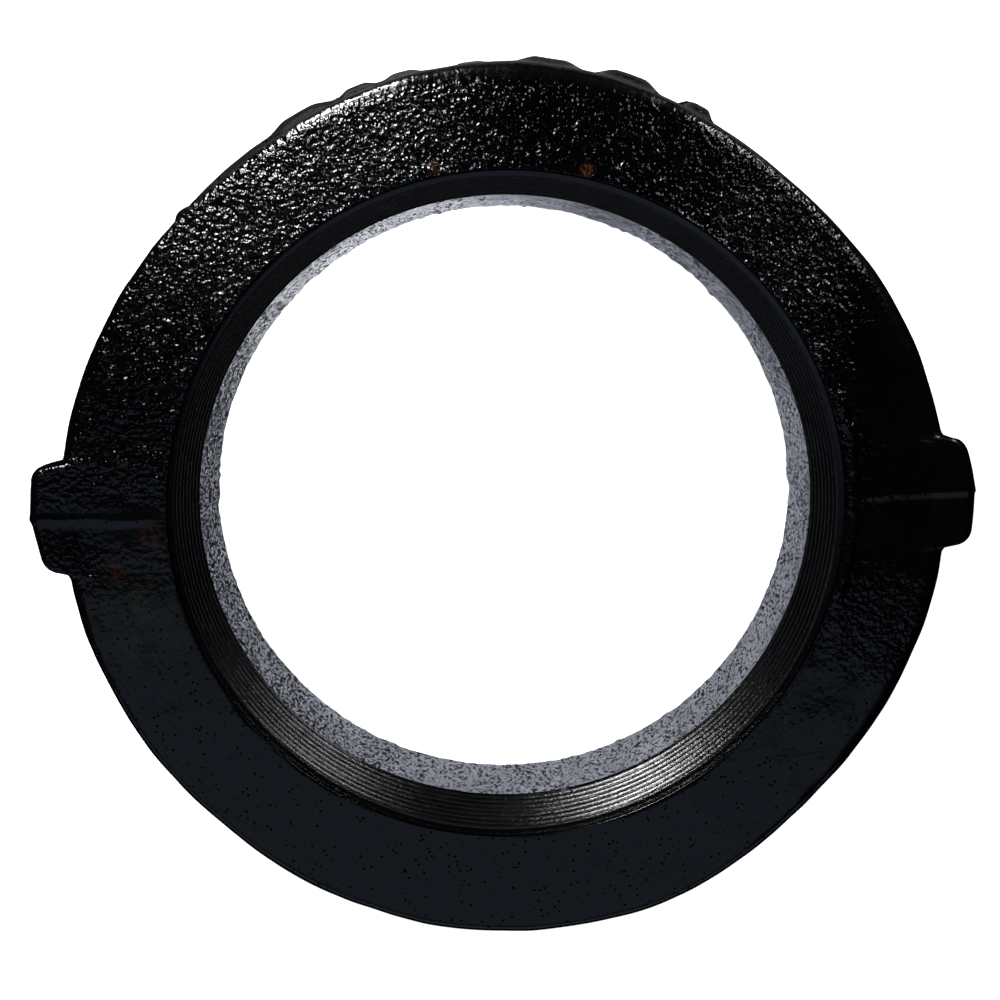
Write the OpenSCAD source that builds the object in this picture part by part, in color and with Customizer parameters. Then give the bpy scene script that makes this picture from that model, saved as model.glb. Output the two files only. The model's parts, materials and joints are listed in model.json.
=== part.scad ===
// Two-lug union for nominal 4-inch pipe, drawn tight and standing on its head piece.
// A swivel nut with two lugs draws the bevelled tail piece onto a ground seat in the head piece.
// +Z is the axis of the waterway and the origin is the middle of the head piece's end face.
// The lugs lie along X. Every length is in millimetres, and "depth" is measured down from the
// rim of the tail piece's mouth.

/* [Pipe] */
// Outside diameter of the pipe
pipe_d = 114.3; // [110:0.1:116]
// Radial clearance of the pipe in the head piece's socket
socket_gap = 0.35; // [0.2:0.05:0.6]
// Depth of the head piece's socket
socket_h = 19; // [17:0.5:20]

/* [Union] */
// Height from the socket's end face to the rim of the tail piece's mouth
union_h = 44; // [43:0.5:50]
// Gap left between pieces that touch when the union is tight
seat_gap = 0.04; // [0.02:0.01:0.08]

/* [Tail piece] */
// Width of the flat rim round the mouth
mouth_rim = 0.55; // [0.4:0.05:1.2]
// Depth of the grooved bevel in the mouth
bevel_h = 8.6; // [7:0.1:10]
// Bore radius at the foot of the bevel
bevel_r = 52.35; // [51:0.05:53.5]
// Number of turned grooves in the bevel
groove_count = 8; // [4:1:10]
// Depth of one turned groove
groove_d = 0.25; // [0.1:0.05:0.35]
// Bore radius at the throat
throat_r = 49.65; // [48:0.05:51]
// Depth of the throat below the rim
throat_h = 17.7; // [16:0.1:18.5]
// Height of the whole tail piece
tail_h = 19; // [18.9:0.1:20]
// Radius of the collar that the nut pulls on
collar_r = 62.6; // [61.5:0.1:63]

/* [Union nut] */
// Outside radius of the nut at its rim
nut_r = 74.8; // [73:0.1:78]
// How far the nut's side tapers in from the rim to the foot
side_taper = 1.6; // [0:0.1:2]
// Height of the nut
nut_h = 36; // [34:0.5:36.5]
// Thickness of the nut's lip at its bore
lip_t = 9; // [8:0.1:9.5]
// Radial clearance of the tail piece's neck in the lip
lip_gap = 0.5; // [0.3:0.05:0.8]
// How far the nut's end face falls from the lip's bore to its rim
face_fall = 2.2; // [1:0.1:5]
// Radius of the rim's rounded corner
rim_round = 2.2; // [1:0.1:4]
// Radius to the tips of the lugs
lug_r = 79.9; // [77:0.1:86]
// Width of a lug
lug_w = 18.5; // [14:0.5:24]
// Height of a lug, down from the level of the nut's rim
lug_h = 12; // [8:0.5:28]

/* [Union thread] */
// Radius of the pitch line of the union thread
thread_r = 64.5; // [64.2:0.1:65.5]
// Radial running clearance of the thread
thread_gap = 0.1; // [0.05:0.01:0.1]

/* [Head piece] */
// Width across the flats of the octagonal collar
flats_w = 136; // [132:1:138]
// Gap between the tail piece's collar and the head piece's rim
rim_gap = 0.5; // [0.3:0.1:1]
// Width of the chamfer on the corners of the octagon
corner_cut = 2; // [1:0.5:3]
// Bore radius of the shoulder that the pipe stops against
stop_r = 53.2; // [52:0.1:55]

/* [Seat and seal] */
// Outside radius of the seat ring
seat_r = 59.8; // [59.5:0.1:60.5]
// Bore radius of the seat ring
seat_bore = 51.4; // [51:0.1:52]
// Height of the ledge of the seat ring
ledge_h = 3; // [2:0.1:4]
// Radius to the middle of the seal ring's section
seal_r = 53.4; // [53:0.1:54]
// Radius of the seal ring's section
seal_wire = 1.5; // [1:0.1:1.8]

/* [Hidden] */
$fn = 180;

neck_r = pipe_d / 2;
mouth_r = neck_r - mouth_rim;
lip_r = neck_r + lip_gap;
socket_r = neck_r + socket_gap;
edge = 0.6;                              // small chamfer on machined edges
collar_top = lip_t + seat_gap;
cone_r = 55.6;                           // small end of the 45-degree ground seat
cone_h = seat_r - cone_r - edge;         // height of the ground seat
collar_foot = tail_h - cone_h;
head_rim = collar_foot + rim_gap;
relief_r = thread_r + 1.5;               // thread relief under the nut's lip
relief_foot = head_rim - 0.5;
ledge_depth = tail_h + seat_gap;         // depth of the seat ring's ledge
stop_depth = ledge_depth + ledge_h;      // depth of the shoulder under the seat ring
flange_top = nut_h + 0.8;                // depth of the octagonal collar's upper face
lug_corner = 2.4;                        // radius of the lugs' rounded corners
BLACK = [0.05, 0.055, 0.065];
GREY = [0.2, 0.21, 0.23];

// A point of a section, from its radius and its depth below the mouth
function at(r, depth) = [r, union_h - depth];

// Points along an arc of a section, from angle a to angle b
function arc(r, depth, radius, a, b, steps = 5) =
    [for (i = [0:steps]) let (t = a + (b - a) * i / steps)
        at(r + radius * cos(t), depth - radius * sin(t))];

// A ring turned from its section
module turned(section) {
    rotate_extrude() polygon(section);
}

// Casting with the external union thread, the octagonal collar and the pipe socket
module head_piece() {
    color(BLACK) difference() {
        union() {
            turned([
                at(stop_r, stop_depth),
                at(seat_r, stop_depth),
                at(seat_r, head_rim + edge),
                at(seat_r + edge, head_rim),
                at(thread_r - edge, head_rim),
                at(thread_r, head_rim + edge),
                at(thread_r, union_h - edge),
                at(stop_r, union_h - edge)
            ]);
            octagonal_collar();
        }
        translate([0, 0, -1]) cylinder(r = socket_r, h = socket_h + 1);
        translate([0, 0, -0.01]) cylinder(r1 = socket_r + edge, r2 = socket_r, h = edge);
    }
}

// Octagon with its corners turned off at both ends
module octagonal_collar() {
    height = union_h - flange_top;
    corner_r = flats_w / 2 / cos(22.5);
    cut_h = corner_cut / sqrt(3);
    difference() {
        intersection() {
            rotate([0, 0, 22.5]) cylinder(r = corner_r, h = height, $fn = 8);
            turned([
                [0, 0],
                [corner_r - corner_cut, 0],
                [corner_r, cut_h],
                [corner_r, height - cut_h],
                [corner_r - corner_cut, height],
                [0, height]
            ]);
        }
        translate([0, 0, -1]) cylinder(r = stop_r + 1, h = height + 2);
    }
}

// Bronze ring pressed into the head piece, with the ground cone and the seal's ledge
module seat_ring() {
    color("darkgoldenrod") turned([
        at(seat_bore, stop_depth),
        at(seat_bore, ledge_depth),
        at(cone_r, ledge_depth),
        at(cone_r + cone_h, ledge_depth - cone_h),
        at(seat_r, ledge_depth - cone_h),
        at(seat_r, stop_depth)
    ]);
}

// Rubber ring in the groove in the tail piece's nose
module seal_ring() {
    color("dimgray") rotate_extrude()
        translate(at(seal_r, ledge_depth - seal_wire - seat_gap)) circle(r = seal_wire);
}

// Swivel piece with the grooved mouth, the as-cast bore, the collar and the ground nose
module tail_piece() {
    groove_out = seal_r + seal_wire + 0.2;
    groove_in = seal_r - seal_wire - 0.2;
    groove_top = tail_h - 2 * seal_wire;
    color(GREY) turned(concat(
        [
            at(mouth_r, 0),
            at(neck_r - 0.2, 0),
            at(neck_r, 0.2),
            at(neck_r, collar_top),
            at(collar_r - edge, collar_top),
            at(collar_r, collar_top + edge),
            at(collar_r, collar_foot - edge),
            at(collar_r - edge, collar_foot),
            at(cone_r + cone_h, collar_foot),
            at(cone_r, tail_h),
            at(groove_out, tail_h),
            at(groove_out, groove_top),
            at(groove_in, groove_top),
            at(groove_in, tail_h),
            at(throat_r + 0.5, tail_h),
            at(throat_r, throat_h),
            at(bevel_r, bevel_h)
        ],
        bevel_grooves()
    ));
}

// Section of the bevel from its foot to the rim, with its V grooves cut into the wall
function bevel_grooves() =
    let (step = bevel_h / (groove_count + 1), slope = (mouth_r - bevel_r) / bevel_h)
    [for (i = [groove_count:-1:1], side = [1, 0, -1])
        let (depth = i * step + side * groove_d)
            at(mouth_r - slope * depth + (side == 0 ? groove_d : 0), depth)];

// Swivel nut with a falling end face, a rounded rim, two lugs and the internal union thread
module union_nut() {
    bore_r = thread_r + thread_gap;
    foot_r = nut_r - side_taper;
    color(BLACK) {
        turned(concat(
            [at(lip_r, lip_t), at(lip_r, 0)],
            arc(nut_r - rim_round, face_fall + rim_round, rim_round, 80, 0),
            [
                at(foot_r, nut_h - 1.5),
                at(foot_r - 1.5, nut_h),
                at(bore_r + edge, nut_h),
                at(bore_r, nut_h - edge),
                at(bore_r, relief_foot),
                at(relief_r, relief_foot - (relief_r - bore_r)),
                at(relief_r, lip_t)
            ]
        ));
        lug(1);
        lug(-1);
    }
}

// One lug, a radial bar level with the nut's rim
module lug(side) {
    body_r = nut_r - 3;
    foot_z = union_h - face_fall - lug_h;
    translate([0, 0, foot_z]) difference() {
        linear_extrude(lug_h) lug_outline(side);
        translate([0, 0, -1]) cylinder(r = body_r, h = lug_h + 2);
    }
}

// Plan of a lug, with rounded corners at its tip
module lug_outline(side) {
    corner_x = side * (lug_r - lug_corner);
    corner_y = lug_w / 2 - lug_corner;
    inner_x = lip_r;
    translate([side > 0 ? inner_x : -lug_r + lug_corner, -lug_w / 2])
        square([lug_r - lug_corner - inner_x, lug_w]);
    translate([side > 0 ? inner_x : -lug_r, -corner_y])
        square([lug_r - inner_x, 2 * corner_y]);
    for (s = [-1, 1]) translate([corner_x, s * corner_y]) circle(r = lug_corner);
}

head_piece();
seat_ring();
seal_ring();
tail_piece();
union_nut();
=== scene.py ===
import json
import math

import bpy
import numpy as np
from mathutils import Matrix, Vector


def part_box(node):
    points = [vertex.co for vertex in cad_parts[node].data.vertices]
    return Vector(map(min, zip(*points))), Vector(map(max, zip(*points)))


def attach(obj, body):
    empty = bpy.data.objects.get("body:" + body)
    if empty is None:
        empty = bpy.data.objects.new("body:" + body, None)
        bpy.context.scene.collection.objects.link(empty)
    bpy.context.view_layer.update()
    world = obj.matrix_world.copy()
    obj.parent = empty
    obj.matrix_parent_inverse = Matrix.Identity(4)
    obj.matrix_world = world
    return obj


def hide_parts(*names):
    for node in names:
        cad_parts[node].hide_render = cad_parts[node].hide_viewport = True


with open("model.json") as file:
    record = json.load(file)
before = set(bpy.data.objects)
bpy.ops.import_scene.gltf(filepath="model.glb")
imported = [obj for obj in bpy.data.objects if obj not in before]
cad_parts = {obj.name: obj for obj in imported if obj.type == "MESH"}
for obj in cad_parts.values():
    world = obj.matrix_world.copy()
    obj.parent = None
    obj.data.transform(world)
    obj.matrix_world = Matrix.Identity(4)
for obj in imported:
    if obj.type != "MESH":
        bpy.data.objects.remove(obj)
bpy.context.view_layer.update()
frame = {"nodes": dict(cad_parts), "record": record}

# Sections are worked out in millimetres, and add_mesh() turns them into metres.
# A section's point is (radius, depth), with depth measured down from the mouth's rim.
MM = 0.001
TAU = 2 * math.pi


# ---------------------------------------------------------------- sizes from the frame

def box_mm(node):
    """Lowest and highest corner of a CAD node, in millimetres."""
    low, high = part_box(node)
    return low / MM, high / MM


nut_low, nut_high = box_mm("union_nut")
tail_low, tail_high = box_mm("tail_piece")
head_low, head_high = box_mm("head_piece")
seat_low, seat_high = box_mm("seat_ring")
seal_low, seal_high = box_mm("seal_ring")

RIM_Z = tail_high.z                    # height of the mouth's rim, where depth is 0
NUT_R = nut_high.y
LUG_R = nut_high.x
NUT_H = RIM_Z - nut_low.z
NUT_TAPER = 1.6                        # how much smaller the nut's radius is at its foot
NUT_FOOT_R = NUT_R - NUT_TAPER
TAIL_H = RIM_Z - tail_low.z
HEAD_RIM = RIM_Z - head_high.z         # depth of the head piece's rim
HEAD_H = RIM_Z - head_low.z
COLLAR_R = tail_high.x                 # collar that the nut's lip pulls on
SEAT_R = seat_high.x
SEAT_FOOT = RIM_Z - seat_low.z         # depth of the shoulder under the seat ring
SEAL_WIRE = (seal_high.z - seal_low.z) / 2
SEAL_R = seal_high.x - SEAL_WIRE
SOCKET_R = next(m for m in frame["record"]["mounts"] if m["name"] == "pipe_socket")["dims"]["r_mm"]

# Sizes that the boxes don't give
NECK_R = 57.15                         # outside radius of the tail piece's neck
MOUTH_R = 56.4                         # outer edge of the grooved bevel
MOUTH_CHAMFER = 0.32                   # how far the rim falls to the bevel's edge
BEVEL_R = 52.35                        # foot of the bevel
BEVEL_H = 8.6                          # depth of the bevel's foot
THROAT_R = 49.65                       # narrowest place of the bore
THROAT_H = 17.7                        # its depth
GROOVES = 8
GROOVE_PITCH = (BEVEL_H - 0.5) / GROOVES       # they run out a little before the foot
GROOVE_DEEP = 0.26                     # depth of a groove
GROOVE_WIDE = 0.11                     # its half width, as a share of the pitch
LAND_CROWN = 0.06                      # how far the lands between the grooves are crowned
LIP_R = 57.4                           # bore of the nut's lip, with the paint on it
LIP_T = 9.0                            # thickness of the lip
FACE_FALL = 2.2                        # how far the nut's end face falls to its rim
RIM_ROUND = 2.2                        # round of the face's outer edge
LUG_HALF = 9.25                        # half the width of a lug
LUG_H = 12.0
LUG_TAPER = 0.1                        # slope of a lug's sides
LUG_PLAN_ROUND = 2.4                   # width of a lug's rounded corners
FOOT_ROUND = 1.6                       # round of the nut's lower edge
THREAD_R = 64.5                        # pitch line of the union thread
THREAD_PITCH = 6.0
THREAD_HALF = 1.1                      # half the height of its ridge
THREAD_PLAY = 0.2                      # each thread's distance from the pitch line
THREAD_STEEP = 1.9                     # above 1, its ridges have flat crests and roots
RELIEF_R = 66.0                        # thread relief under the nut's lip
STOP_R = 53.2                          # bore of the shoulder that the pipe stops against
FLATS_R = 68.0                         # half the width across the octagon's flats
FLANGE_TOP = NUT_H + 0.8               # depth of the octagonal collar's upper face
COLLAR_ROUND = 1.1                     # round of the octagonal collar's edges
EDGE = 0.6                             # chamfer of the machined edges
LIP_PLAY = 0.04                        # gap between the nut's lip and the tail piece's collar
SEAL_PLAY = 0.2                        # room beside the seal in its groove
SOCKET_H = 19.0                        # depth of the pipe socket
CONE_R = 55.6                          # small end of the ground seat
NOSE_R = 50.15                         # bore of the tail piece's nose


# ---------------------------------------------------------------- noise

# The last argument of bumps() and pits() is a seed, and each pattern below has its own.
# hashed() multiplies the cell's numbers and the seed by large odd factors and mixes their bits.
HASH_STEPS = (73856093, 19349663, 83492791)
HASH_SEED = 2654435761
HASH_MIX = 0x2C1B3C6D
HASH_TOP = 0xFFFFFFFF                  # it keeps 32 bits
BUMP_GAIN = 1.9                        # brings the range of bumps() to about -1 to 1
DOT_SIZES = (0.18, 0.3)                # least radius of a dot and its spread, as shares of a cell


def hashed(cell, seed):
    """A number from 0 to 1 for each whole-number cell, the same on every run."""
    x, y, z = (cell[..., k].astype(np.int64) * HASH_STEPS[k] for k in range(3))
    h = (x ^ y ^ z ^ (seed * HASH_SEED)) & HASH_TOP
    for shift in (15, 12, 4):
        h = ((h ^ (h >> shift)) * HASH_MIX) & HASH_TOP
    return h / HASH_TOP


def hashed_triple(cell, seed):
    """Three such numbers for each cell."""
    return np.stack([hashed(cell, seed + k) for k in range(3)], axis=-1)


def bumps(points, size, seed):
    """Smooth gradient noise from about -1 to 1, with features of this size."""
    q = points / size
    base = np.floor(q)
    f = q - base
    u = f * f * f * (f * (f * 6 - 15) + 10)
    total = np.zeros(len(points))
    for corner in np.ndindex(2, 2, 2):
        c = np.array(corner)
        grad = hashed_triple(base + c, seed) * 2 - 1
        weight = np.prod(np.where(c == 1, u, 1 - u), axis=-1)
        total += weight * ((f - c) * grad).sum(-1)
    return total * BUMP_GAIN


def pits(points, size, share, seed):
    """Round dots at random places: 1 in the middle of a dot, 0 outside, in a share of the cells."""
    q = points / size
    base = np.floor(q)
    out = np.zeros(len(points))
    for offset in np.ndindex(3, 3, 3):
        cell = base + np.array(offset) - 1
        middle = cell + hashed_triple(cell, seed)
        radius = DOT_SIZES[0] + DOT_SIZES[1] * hashed(cell, seed + 3)
        near = np.linalg.norm(q - middle, axis=-1) / radius
        here = (1 - np.clip(near, 0, 1) ** 2) * (hashed(cell, seed + 4) < share)
        out = np.maximum(out, here)
    return out


def smooth(x, low, high):
    """0 below low, 1 above high, and an even S between."""
    t = np.clip((x - low) / (high - low), 0, 1)
    return t * t * (3 - 2 * t)


# ---------------------------------------------------------------- meshes

SEAM = 3                               # columns of a ring's fine side for each one of its coarse side
RING_COLUMNS = 720                     # columns of the fine side of the tail and head pieces
SHARP = math.radians(38)               # edges of machined faces steeper than this stay sharp


def turned_grid(section, count):
    """Grids of radius, depth and angle of a section turned round the axis in count even columns."""
    radius = np.repeat(section[:, :1], count, axis=1)
    depth = np.repeat(section[:, 1:], count, axis=1)
    return radius, depth, np.broadcast_to(np.arange(count) * TAU / count, radius.shape)


def place(radius, depth, angle):
    """Points from grids of radius, depth and angle."""
    return np.stack([radius * np.cos(angle), radius * np.sin(angle), RIM_Z - depth], axis=-1)


def strip_faces(first, rows, cols):
    """Quads of a grid that closes on itself round the axis."""
    r = np.arange(rows - 1)[:, None] * cols
    a = np.arange(cols)[None, :]
    b = (a + 1) % cols
    quads = np.stack([first + r + a, first + r + b, first + r + cols + b, first + r + cols + a], axis=-1)
    return quads.reshape(-1, 4).tolist()


def seam_faces(fine, cols, coarse, flip):
    """Faces between a fine ring of cols points and a ring with one point for each three of them."""
    out = []
    small = cols // SEAM
    for j in range(small):
        c0, c1 = coarse + j, coarse + (j + 1) % small
        f = [fine + (SEAM * j + k) % cols for k in range(SEAM + 1)]
        faces = [[c0, f[1], f[0]], [c0, c1, f[2], f[1]], [c1, f[3], f[2]]]
        out += [face[::-1] for face in faces] if flip else faces
    return out


def ring_mesh(name, fine, coarse):
    """A closed ring from two grids of points, (rows, columns, 3), that meet at both ends.
    The fine one has SEAM times the coarse one's columns."""
    rows, cols = fine.shape[:2]
    small_rows, small_cols = coarse.shape[:2]
    points = np.concatenate([fine.reshape(-1, 3), coarse.reshape(-1, 3)])
    start = rows * cols
    faces = strip_faces(0, rows, cols) + strip_faces(start, small_rows, small_cols)
    faces += seam_faces((rows - 1) * cols, cols, start, False)
    faces += seam_faces(0, cols, start + (small_rows - 1) * small_cols, True)
    return add_mesh(name, points, faces)


def add_mesh(name, points_mm, faces):
    """A mesh object from points in millimetres, with its faces turned outward."""
    mesh = bpy.data.meshes.new(name)
    mesh.from_pydata((points_mm * MM).tolist(), [], faces)
    mesh.validate()
    obj = bpy.data.objects.new(name, mesh)
    bpy.context.scene.collection.objects.link(obj)
    face_outward(mesh)
    mesh.shade_smooth()
    return obj


def face_outward(mesh):
    """Turns all faces over if the mesh's volume comes out negative."""
    mesh.calc_loop_triangles()
    co = vertex_array(mesh)
    tri = np.zeros(len(mesh.loop_triangles) * 3, np.int64)
    mesh.loop_triangles.foreach_get("vertices", tri)
    a, b, c = (co[tri.reshape(-1, 3)[:, k]] for k in range(3))
    if (a * np.cross(b, c)).sum() < 0:
        mesh.flip_normals()


def vertex_array(mesh):
    """The mesh's vertices as rows of x, y and z, in metres."""
    co = np.zeros(len(mesh.vertices) * 3)
    mesh.vertices.foreach_get("co", co)
    return co.reshape(-1, 3)


def relief(obj, height):
    """Moves each vertex along its normal by height(points), both in millimetres."""
    mesh = obj.data
    co = vertex_array(mesh)
    normal = np.zeros(len(mesh.vertices) * 3)
    mesh.vertex_normals.foreach_get("vector", normal)
    co += normal.reshape(-1, 3) * (height(co / MM) * MM)[:, None]
    mesh.vertices.foreach_set("co", co.ravel())
    mesh.update()


def between(a, b, count):
    """An even row of count section points from a towards b, without b."""
    t = np.arange(count)[:, None] / count
    return np.array(a) * (1 - t) + np.array(b) * t


def arc(centre, radius, start, end, count):
    """A row of count points along an arc, where 90 degrees is towards the rim and 0 outward."""
    t = np.radians(np.linspace(start, end, count, endpoint=False))
    return np.stack([centre[0] + radius * np.cos(t), centre[1] - radius * np.sin(t)], axis=-1)


def path(*pieces):
    """One list of section points from stretches and single points."""
    return np.concatenate([np.atleast_2d(np.array(p, float)) for p in pieces])


def thread(depth, angle, pitch_line):
    """Radius of the right-handed union thread."""
    turn = ((RIM_Z - depth) / THREAD_PITCH - angle / TAU) % 1
    wave = 1 - 4 * np.abs(turn - 0.5)
    return pitch_line + THREAD_HALF * np.clip(THREAD_STEEP * wave, -1, 1)


# ---------------------------------------------------------------- the nut

ACROSS = 13.0                          # half the width of the band of columns along a lug
ROOT_BAND = 1.7                        # width beside a lug that still has its close columns
LUG_COLUMNS = (15, 18, 6)              # columns on half of its flat end, round its corner, beside it
SIDE_COLUMNS = 171                     # columns from there to the Y axis
FACE_ROWS = 36                         # rows of points down the face, and down the lug's end
SIDE_ROWS = 22                         # rows of points down the side
LIP_EDGE = 0.08                        # round of the face's inner edge

# A lug's outline in plan
CORNER_DROP = 0.42                     # share of the lug's reach that its rounded corner falls by
ROOT_REACH = 0.14                      # share of the reach at which the root fillet starts
WALL_WIDE = 0.35                       # width of the lug's side wall
FILLET_WIDE = 1.3                      # width of the fillet at its root
LUG_TIP_ROUND = 1.7                    # round of the upper edge of its end
LUG_FOOT_ROUND = 1.4                   # round of the lower edge of its end
LUG_ROOT_ROUND = 1.2                   # fillet between its underside and the nut's side
LUG_OUT = (0.9, 0.2)                   # how far the -X and the +X lug's ends stand out of the CAD's
LUG_SLANT = (0.04, 0.15)               # slope of the ends, at upper left and lower right, and elsewhere

# How the as-cast rim is out of round, in millimetres and degrees
RIM_LOBES = 0.6                        # height of its four even lobes
RIM_TRIM = -0.1                        # the same all round
RIM_SHIFT = (-0.2, -0.55)              # how far off centre, in X and in Y
RIM_SWELLS = ((50, 16, -0.8), (292, 12, 0.8))      # angle, width and height


def nut_columns():
    """Column tables of the nut: y of those that run along a lug, and turn, from 0 at the lug's
    foot to 1 at the Y axis, of those that fan out round the nut."""
    edges = (0, LUG_HALF - LUG_PLAN_ROUND, LUG_HALF + ROOT_BAND, ACROSS)
    y = np.concatenate([np.linspace(a, b, n, endpoint=False)
                        for a, b, n in zip(edges, edges[1:], LUG_COLUMNS)])
    turn = np.linspace(0, 1, SIDE_COLUMNS + 1)
    y = np.concatenate([y, np.full(len(turn), ACROSS)])
    turn = np.concatenate([np.zeros(len(y) - len(turn)), turn])
    last = len(y) - 1
    order = np.concatenate([np.arange(last), np.arange(last, 0, -1)])
    mirrored = np.concatenate([np.zeros(last), np.ones(last)])
    return (np.tile(y[order], 2), np.tile(turn[order], 2), np.tile(mirrored, 2),
            np.repeat([0, math.pi], 2 * last))


COLUMN_Y, COLUMN_TURN, COLUMN_MIRRORED, COLUMN_HALF = nut_columns()


def nut_angle(radius, step=1):
    """Angle of the nut's columns at each radius of a grid."""
    y, turn = COLUMN_Y[::step], COLUMN_TURN[::step]
    a = np.arcsin(np.clip(y / radius, -1, 1)) * (1 - turn) + math.pi / 2 * turn
    return np.where(COLUMN_MIRRORED[::step] == 1, math.pi - a, a) + COLUMN_HALF[::step]


def lug_share(y, depth):
    """How far a point stands out to the lug's outline: 1 on the lug, 0 beyond its root fillet."""
    y = y + LUG_TAPER * np.clip(depth - FACE_FALL, 0, LUG_H)
    flat = LUG_HALF - LUG_PLAN_ROUND
    foot = LUG_HALF + WALL_WIDE
    t = np.clip((y - flat) / LUG_PLAN_ROUND, 0, 1)
    crown = 1 - CORNER_DROP * (1 - np.sqrt(1 - t * t))
    wall = 1 - CORNER_DROP - (1 - CORNER_DROP - ROOT_REACH) * np.clip((y - LUG_HALF) / WALL_WIDE, 0, 1)
    fillet = ROOT_REACH * np.clip(1 - (y - foot) / FILLET_WIDE, 0, 1) ** 2
    return np.select([y <= flat, y <= LUG_HALF, y <= foot], [1, crown, wall], fillet)


def lobes(angle):
    """How far the as-cast rim is out of round, in millimetres."""
    degrees = np.degrees(angle) % 360
    out = RIM_LOBES * np.cos(4 * angle) + RIM_TRIM
    out += RIM_SHIFT[0] * np.cos(angle) + RIM_SHIFT[1] * np.sin(angle)
    for middle, width, height in RIM_SWELLS:
        out += height * np.exp(-((degrees - middle) / width) ** 2)
    return out


def nut_sections():
    """The nut's outside as two sections with as many points: plain, and through the middle of a lug."""
    foot_r = NUT_FOOT_R - FOOT_ROUND
    face_r = NUT_R - RIM_ROUND
    tip_r = LUG_R - LUG_TIP_ROUND
    lower = FACE_FALL + LUG_H
    lip = path(
        between((LIP_R, 3.0), (LIP_R, 0.1), 4),
        arc((LIP_R + LIP_EDGE, LIP_EDGE), LIP_EDGE, 180, 100, 5))
    foot = arc((NUT_R - FOOT_ROUND, NUT_H - FOOT_ROUND), FOOT_ROUND, 0, -90, 5)
    plain = path(
        lip,
        between((LIP_R + 0.2, 0.0), (face_r + 0.4, FACE_FALL), FACE_ROWS),
        arc((face_r, FACE_FALL + RIM_ROUND), RIM_ROUND, 80, 0, 8),
        between((NUT_R, FACE_FALL + RIM_ROUND), (NUT_R, lower + 0.8), SIDE_ROWS),
        between((NUT_R, lower + 0.8), (NUT_R, lower + 3.8), 9),
        between((NUT_R, lower + 3.8), (NUT_R, NUT_H - FOOT_ROUND), 5),
        foot)
    lug_face = between((LIP_R + 0.2, 0.0), (tip_r, FACE_FALL), FACE_ROWS)
    lug_face[:, 1] = np.minimum((lug_face[:, 0] - LIP_R) * FACE_FALL / (face_r - LIP_R), FACE_FALL)
    proud = path(
        lip,
        lug_face,
        arc((tip_r, FACE_FALL + LUG_TIP_ROUND), LUG_TIP_ROUND, 90, 0, 8),
        between((LUG_R, FACE_FALL + LUG_TIP_ROUND), (LUG_R, lower - LUG_FOOT_ROUND), SIDE_ROWS),
        arc((LUG_R - LUG_FOOT_ROUND, lower - LUG_FOOT_ROUND), LUG_FOOT_ROUND, 0, -90, 4),
        between((LUG_R - LUG_FOOT_ROUND, lower), (NUT_R + LUG_ROOT_ROUND, lower), 2),
        arc((NUT_R + LUG_ROOT_ROUND, lower + LUG_ROOT_ROUND), LUG_ROOT_ROUND, 90, 180, 3),
        between((NUT_R, lower + LUG_ROOT_ROUND), (NUT_R, NUT_H - FOOT_ROUND), 5),
        foot)
    side_top = FACE_FALL + RIM_ROUND
    for section in (plain, proud):
        down = np.clip((section[:, 1] - side_top) / (NUT_H - side_top - FOOT_ROUND), 0, 1)
        section[:, 0] -= NUT_TAPER * down * (section[:, 0] > foot_r)
    return plain, proud


def build_nut():
    """The nut: its plain section all round, drawn out to the lug's section at each lug."""
    plain, proud = nut_sections()
    share = lug_share(COLUMN_Y, proud[:, 1:]) * (COLUMN_TURN == 0)
    left = (COLUMN_HALF == 0) == (COLUMN_MIRRORED == 1)
    tip = np.where(left, *LUG_OUT) - COLUMN_Y * np.where(COLUMN_MIRRORED == 1, *LUG_SLANT)
    reach = (proud - plain)[:, :1] + tip * smooth(proud[:, :1], NUT_R - 2, LUG_R)
    radius = plain[:, :1] + share * reach
    depth = plain[:, 1:] + share * (proud - plain)[:, 1:]
    angle = nut_angle(radius)
    rim = smooth(radius, LIP_R + 4, NUT_R - 1)
    radius = radius + lobes(angle) * rim * (1 - share)
    fine = place(radius, depth, angle)
    nut = ring_mesh("cast_nut", fine, nut_inside())
    relief(nut, nut_relief)
    return nut


def nut_inside():
    """Grid of points of the nut's thread, thread relief, shoulder and lip."""
    inner = path(
        between((NUT_FOOT_R - FOOT_ROUND - 0.8, NUT_H), (RELIEF_R + 0.4, NUT_H), 4),
        between((RELIEF_R, NUT_H - 0.1), (RELIEF_R, HEAD_RIM - 1.0), 52),
        between((RELIEF_R, HEAD_RIM - 1.0), (RELIEF_R, LIP_T + 0.4), 5),
        (RELIEF_R - 0.4, LIP_T),
        between((RELIEF_R - 1.0, LIP_T), (LIP_R + 0.4, LIP_T), 4),
        between((LIP_R, LIP_T - 0.4), (LIP_R, 3.4), 4))
    radius = np.repeat(inner[:, :1], len(COLUMN_Y) // SEAM, axis=1)
    depth = np.repeat(inner[:, 1:], len(COLUMN_Y) // SEAM, axis=1)
    angle = nut_angle(radius, SEAM)
    cut = thread(depth, angle, THREAD_R + THREAD_PLAY)
    cut = np.maximum(cut, RELIEF_R + 0.2 - (NUT_H - depth))
    cut = np.maximum(cut, RELIEF_R - 1.2 * (depth - HEAD_RIM + 0.6))
    threaded = (inner[:, :1] == RELIEF_R) & (inner[:, 1:] > HEAD_RIM - 1.0) & (inner[:, 1:] < NUT_H)
    radius = np.where(threaded, np.minimum(cut, RELIEF_R + 0.2), radius)
    return place(radius, depth, angle)


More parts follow.
